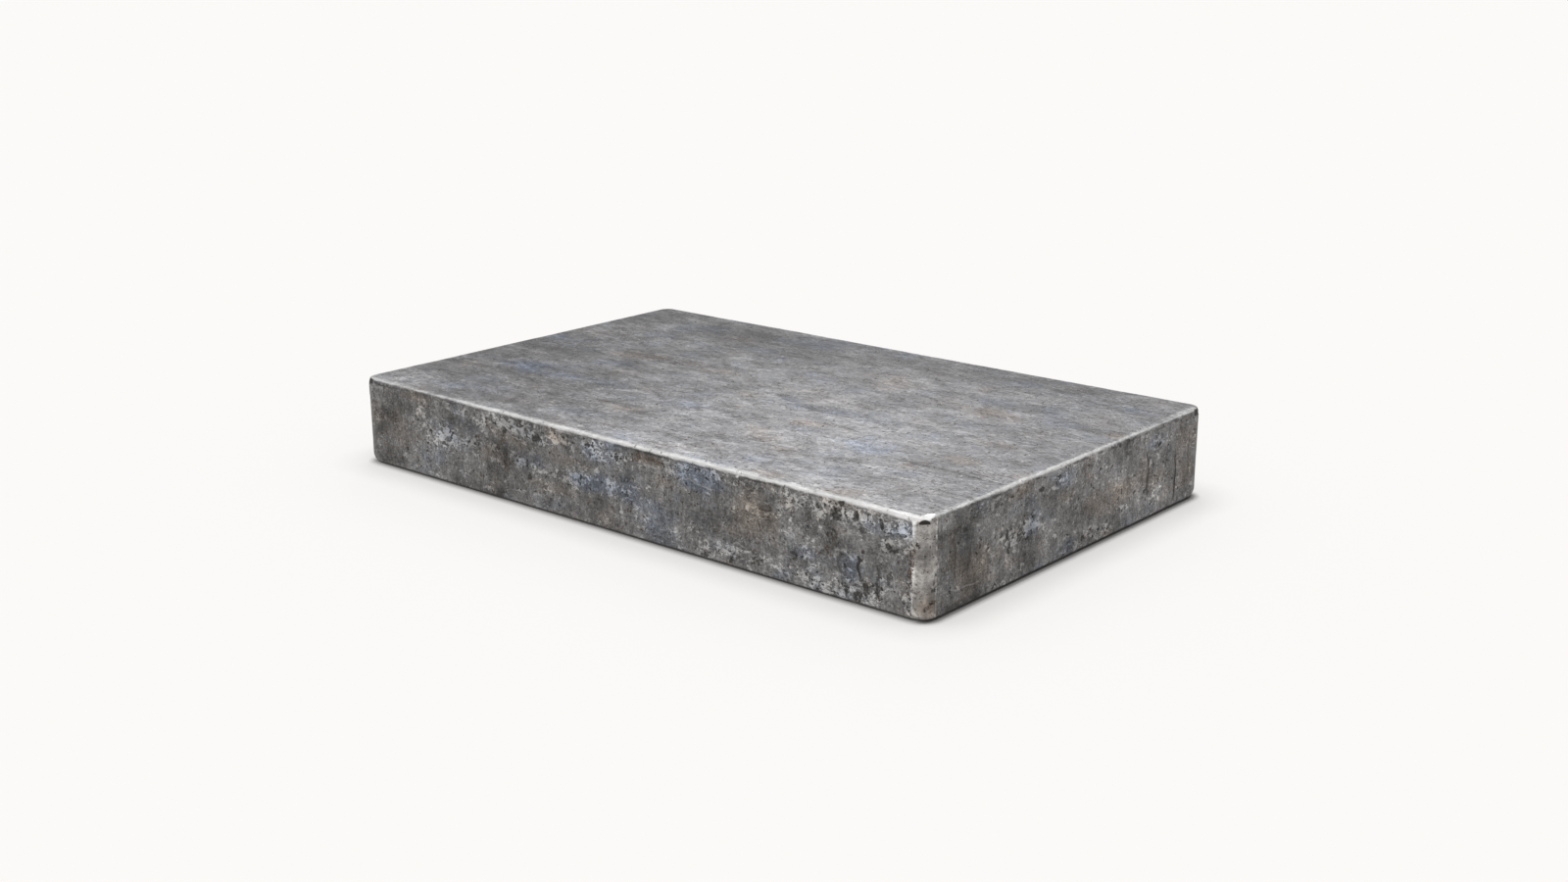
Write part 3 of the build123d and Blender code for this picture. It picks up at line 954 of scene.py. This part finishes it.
def stained(n, colour):
    """The scale's colour with its tone, painted highlight and shade, brown and blue, rust, blots and strokes.
    """
    side = n.mark("side")
    # The shade patches: the scale's own tone, with painted highlight and painted shade laid over it
    colour = n.toned(colour, n.math("ADD", n.mark("shade"), 1.0))
    drift = n.noise(cell=0.09, seed=21, stretch=(1.6, 1.2, 1), detail=3, rough=0.6)
    warmth = n.math("ADD", n.both(drift, n.between(side, 0.34, 0.42)), n.mark("tint"))
    colour = n.tinted(n.climb(warmth, 0.0, 1.5), colour, BROWN_TINT)
    colour = n.tinted(n.climb(warmth, -0.1, -1.5), colour, BLUE_TINT)
    ragged = n.noise(cell=0.008, seed=22, detail=3, rough=0.8)
    rusty = n.climb(n.scaled(ragged, 0.40, n.mark("rust")), 0.50, 0.80)
    rust = n.blend(n.climb(n.noise(cell=0.006, seed=23, detail=3, rough=0.7), 0.8, 2.0), RUST_DARK, RUST_PALE)
    colour = n.blend(n.both(rusty, 0.8), colour, rust)
    blotted = n.climb(n.scaled(ragged, 0.18, n.mark("blot")), 0.32, 0.60)
    colour = n.blend(n.both(blotted, 0.82), colour, PIT_AND_SHADOW)
    off_stroke = n.math("ABSOLUTE", n.scaled(ragged, 0.30, n.mark("stroke")))
    stroked = n.climb(off_stroke, 1.5, 0.8)
    tone = n.both(n.mark("stroke_tone"), n.between(side, 0.6, 1.0))
    colour = n.blend(n.both(stroked, n.math("MAXIMUM", n.scaled(tone, -0.92), 0.0)), colour, PIT_AND_SHADOW)
    colour = n.blend(n.both(stroked, n.math("MAXIMUM", n.scaled(tone, 0.55), 0.0)), colour, CRUST_CREST)
    return colour, blotted, stroked


def edged(n, colour, side):
    """The colour with painted light: a broken painted shadow under the rims, a painted highlight and painted
    shade at the foot.
    """
    height = n.height()
    ragged = n.noise(cell=0.02, seed=31, stretch=(2, 2, 1), detail=4, rough=0.75)
    # A broken painted shadow under the rims' rounds
    rim_shadow = n.climb_past(n.scaled(ragged, RAGGED_LINE, height), TOP - EDGE_RADIUS, RIM_SHADOW_LINE)
    broken = n.both(n.both(rim_shadow, side), n.climb(ragged, 0.0, 1.5))
    colour = n.blend(n.both(broken, 0.6), colour, PIT_AND_SHADOW)
    foot = BOTTOM + EDGE_RADIUS
    # A painted highlight just above the foot's round
    foot_highlight = n.both(n.climb_past(height, foot, FOOT_HIGHLIGHT_BELOW), n.climb_past(height, foot, FOOT_HIGHLIGHT_ABOVE))
    colour = n.toned(colour, n.scaled(foot_highlight, 0.16, 1.0))
    # Painted shade on the foot's round: deeper towards the +X end, paler at the near corner, weaker at the
    # other corners
    foot_shaded = n.climb_past(n.scaled(ragged, RAGGED_FOOT, height), foot, FOOT_SHADE_LINE)
    by_end = n.climb(n.along(), CORNER_X, LENGTH / 2 - EDGE_RADIUS)
    foot_shade_colour = n.toned(FOOT_SHADE, n.both(n.scaled(by_end, -0.30, 1.0), n.scaled(n.mark("near"), 0.45, 1.0)))
    return n.blend(n.both(foot_shaded, n.scaled(n.mark("corner"), -0.5, 1.0)), colour, foot_shade_colour)


def cornered(n, colour):
    """The colour with the near corner's rubbed band and its bright borders, and the duller other corners."""
    ragged = n.noise(cell=0.010, seed=41, detail=4, rough=0.75)
    blocks = n.noise(cell=0.045, seed=42, stretch=(1, 1, 0.7), detail=5, rough=0.9)
    rubbed = n.climb(n.scaled(ragged, 0.12, n.mark("near")), 0.35, 0.65)
    band = n.toned(BAND_STEEL, n.both(n.scaled(blocks, 0.16, 1.0), n.scaled(ragged, 0.14, 1.0)))
    height = n.scaled(ragged, RAGGED_LINE, n.height())
    low, high = PALE_BLOCK
    above_low = n.climb(height, low - BLOCK_BLUR, low + BLOCK_BLUR)
    below_high = n.climb(height, high + BLOCK_BLUR, high - BLOCK_BLUR)
    band = n.toned(band, n.scaled(n.both(above_low, below_high), 0.34, 1.0))
    colour = n.blend(n.both(rubbed, 0.75), colour, band)
    from_border = n.math("ABSOLUTE", n.math("SUBTRACT", n.math("ABSOLUTE", n.mark("corner_way")), HALF_ARC))
    from_border = n.scaled(ragged, -RAGGED_LINE, from_border)
    border = n.both(n.climb(from_border, *BORDER), n.climb(ragged, -1.0, 0.6))
    on_border = n.both(border, n.climb(n.mark("near"), 0.05, 0.3))
    colour = n.blend(n.both(on_border, 0.7), colour, CRUST_CREST)
    other = n.climb(n.scaled(ragged, 0.2, n.mark("corner")), 0.5, 0.9)
    return n.blend(n.both(other, 0.4), colour, CRACKLE)


def painted_reflection_spot(n):
    """1 in the dark spot under the rim of the near corner, a painted dark reflection: a flat-footed arch."""
    way, height = n.mark("corner_way"), n.height()
    across = n.scaled(way, 1 / REFLECTION_SPOT_HALF_WIDTH, -REFLECTION_SPOT_WAY / REFLECTION_SPOT_HALF_WIDTH)
    above = n.scaled(height, 1 / REFLECTION_SPOT_HEIGHT, -REFLECTION_SPOT_FOOT / REFLECTION_SPOT_HEIGHT)
    away = n.math("SQRT", n.math("ADD", n.both(across, across), n.both(above, above)))
    arch = n.both(n.climb(away, 1.12, 0.88), n.climb(above, -0.18, 0.06))
    return n.both(arch, n.climb(n.mark("near"), 0.3, 0.6))


def scaled_steel():
    """The slab's one material: top and side scale, stains and edges, then the steel that wear laid bare."""
    material = bpy.data.materials.new("scaled_steel")
    material.use_nodes = True
    n = Nodes(material.node_tree)
    side = n.mark("side")
    top_colour, top_height, top_dull = top_scale(n)
    side_colour, side_height, side_dull = side_scale(n)
    colour = n.blend(side, top_colour, side_colour)
    colour = cornered(n, colour)
    colour, blotted, stroked = stained(n, colour)
    # The dark spot under the near corner's rim: a painted dark reflection
    dark_reflection = painted_reflection_spot(n)
    colour = n.blend(dark_reflection, edged(n, colour, side), PIT_AND_SHADOW)
    blotted = n.math("MAXIMUM", blotted, dark_reflection)
    chips = n.noise(cell=0.008, seed=51, stretch=(3, 3, 1), detail=4, rough=0.85)
    nicks = n.climb(n.noise(cell=0.010, seed=52, detail=2, rough=0.6), 2.0, 2.5)
    worn = n.climb(n.scaled(chips, 0.08, n.mark("wear")), 0.08, 0.95)
    worn = n.both(worn, n.scaled(nicks, -0.7, 1.0))
    worn = n.both(worn, n.without(blotted))
    brushed = n.scaled(n.noise(cell=0.006, seed=53, stretch=(6, 6, 1), detail=3, rough=0.7), 0.08, 1.0)
    polished = n.scaled(n.climb(n.mark("wear"), 0.90, 1.15), 0.26, 1.0)
    colour = n.blend(worn, colour, n.toned(WORN_STEEL, n.both(brushed, polished)))
    metal = n.both(n.math("MAXIMUM", n.between(side, 0.70, 0.25), worn), n.without(blotted))
    dull = n.between(worn, n.between(side, top_dull, side_dull), 0.40)
    dull = n.between(blotted, dull, 0.85)
    height = n.between(side, top_height, side_height)
    height = n.scaled(n.math("MAXIMUM", blotted, stroked), STROKE_BUMP, height)
    bump = n.add("ShaderNodeBump", {}, {"Height": height, "Distance": 1.0, "Strength": 1.0})
    inputs = {"Base Color": colour, "Metallic": metal, "Roughness": dull, "Normal": bump}
    shader = n.add("ShaderNodeBsdfPrincipled", {}, inputs)
    shader.node.inputs["Specular Tint"].default_value = (0.4, 0.4, 0.4, 1)
    shader.node.inputs["Specular IOR Level"].default_value = 0.2
    n.add("ShaderNodeOutputMaterial", {}, {"Surface": shader})
    return material


def floor():
    """A wide pale floor. What the camera and mirrors see of it glows in part, which softens the shadow."""
    sides = ((-1, -1), (1, -1), (1, 1), (-1, 1))
    corners = [(side_x * FLOOR_REACH, side_y * FLOOR_REACH, BOTTOM) for side_x, side_y in sides]
    mesh = bpy.data.meshes.new("floor")
    mesh.from_pydata(corners, [], [(0, 1, 2, 3)])
    plane = bpy.data.objects.new("floor", mesh)
    bpy.context.scene.collection.objects.link(plane)
    material = bpy.data.materials.new("studio_floor")
    material.use_nodes = True
    n = Nodes(material.node_tree)
    rays = ("Is Camera Ray", "Is Glossy Ray", "Is Transmission Ray")
    seen = [n.add("ShaderNodeLightPath", {}, {}, ray) for ray in rays]
    seen = n.math("MAXIMUM", seen[0], n.math("MAXIMUM", seen[1], seen[2]))
    plain = n.add("ShaderNodeBsdfDiffuse", {}, {"Color": FLOOR_COLOUR})
    level = 1.0
    past_end = n.climb(n.along(), CORNER_X, LENGTH / 2)
    for reach, shade, end_shade in CONTACT_SHADES:
        open_share = n.add("ShaderNodeAmbientOcclusion", {"samples": 4}, {"Distance": reach}, "AO")
        closed = n.math("MINIMUM", n.scaled(open_share, -2.0, 2.0), 1.0)
        level = n.both(level, n.without(n.both(closed, n.between(past_end, shade, end_shade))))
    glow = n.add("ShaderNodeEmission", {}, {"Color": BACKDROP, "Strength": level})
    mixed = n.add("ShaderNodeMixShader", {}, {0: n.both(seen, FLOOR_GLOW), 1: plain, 2: glow})
    n.add("ShaderNodeOutputMaterial", {}, {"Surface": mixed})
    mesh.materials.append(material)


def light():
    """Soft white surroundings, brighter overhead than at the horizon, and a broad key behind the slab."""
    world = bpy.data.worlds.new("studio")
    bpy.context.scene.world = world
    world.use_nodes = True
    n = Nodes(world.node_tree)
    way = n.add("ShaderNodeTexCoord", {}, {}, "Generated")
    upward = n.add("ShaderNodeSeparateXYZ", {}, {0: way}, "Z")
    level = n.between(n.climb(upward, 0.0, OVERHEAD_FROM), HORIZON_LEVEL, OVERHEAD_LEVEL)
    background = n.add("ShaderNodeBackground", {}, {"Color": (1, 1, 1, 1), "Strength": level})
    n.add("ShaderNodeOutputWorld", {}, {"Surface": background})
    sun = bpy.data.lights.new("key", "SUN")
    sun.energy = KEY_ENERGY
    sun.angle = KEY_ANGLE
    lamp = bpy.data.objects.new("key", sun)
    towards = Vector((-math.sin(KEY_AZIMUTH), math.cos(KEY_AZIMUTH), math.tan(KEY_HEIGHT)))
    lamp.rotation_mode = "QUATERNION"
    lamp.rotation_quaternion = towards.to_track_quat("Z", "Y")
    bpy.context.scene.collection.objects.link(lamp)


def camera():
    """The camera that the photograph was fitted with: level right and down turned by the roll."""
    level = Vector((math.sin(CAMERA_YAW), math.cos(CAMERA_YAW), 0))
    forward = level * math.cos(CAMERA_PITCH) - Vector((0, 0, math.sin(CAMERA_PITCH)))
    level_right = Vector((math.cos(CAMERA_YAW), -math.sin(CAMERA_YAW), 0))
    level_down = forward.cross(level_right)
    right = level_right * math.cos(CAMERA_ROLL) + level_down * math.sin(CAMERA_ROLL)
    down = level_down * math.cos(CAMERA_ROLL) - level_right * math.sin(CAMERA_ROLL)
    data = bpy.data.cameras.new("camera")
    data.sensor_width = SENSOR_WIDTH
    data.lens = FOCAL_PIXELS * SENSOR_WIDTH / PHOTO_WIDTH
    eye = bpy.data.objects.new("camera", data)
    bpy.context.scene.collection.objects.link(eye)
    axes = Matrix((right, -down, -forward)).transposed().to_4x4()
    eye.matrix_world = Matrix.Translation(CAMERA_PLACE) @ axes
    bpy.context.scene.camera = eye


slab = slab_piece()
slab.data.materials.append(scaled_steel())
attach(slab, BODY)
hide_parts(SLAB)
floor()
light()
camera()
bpy.context.scene.view_settings.view_transform = "Standard"
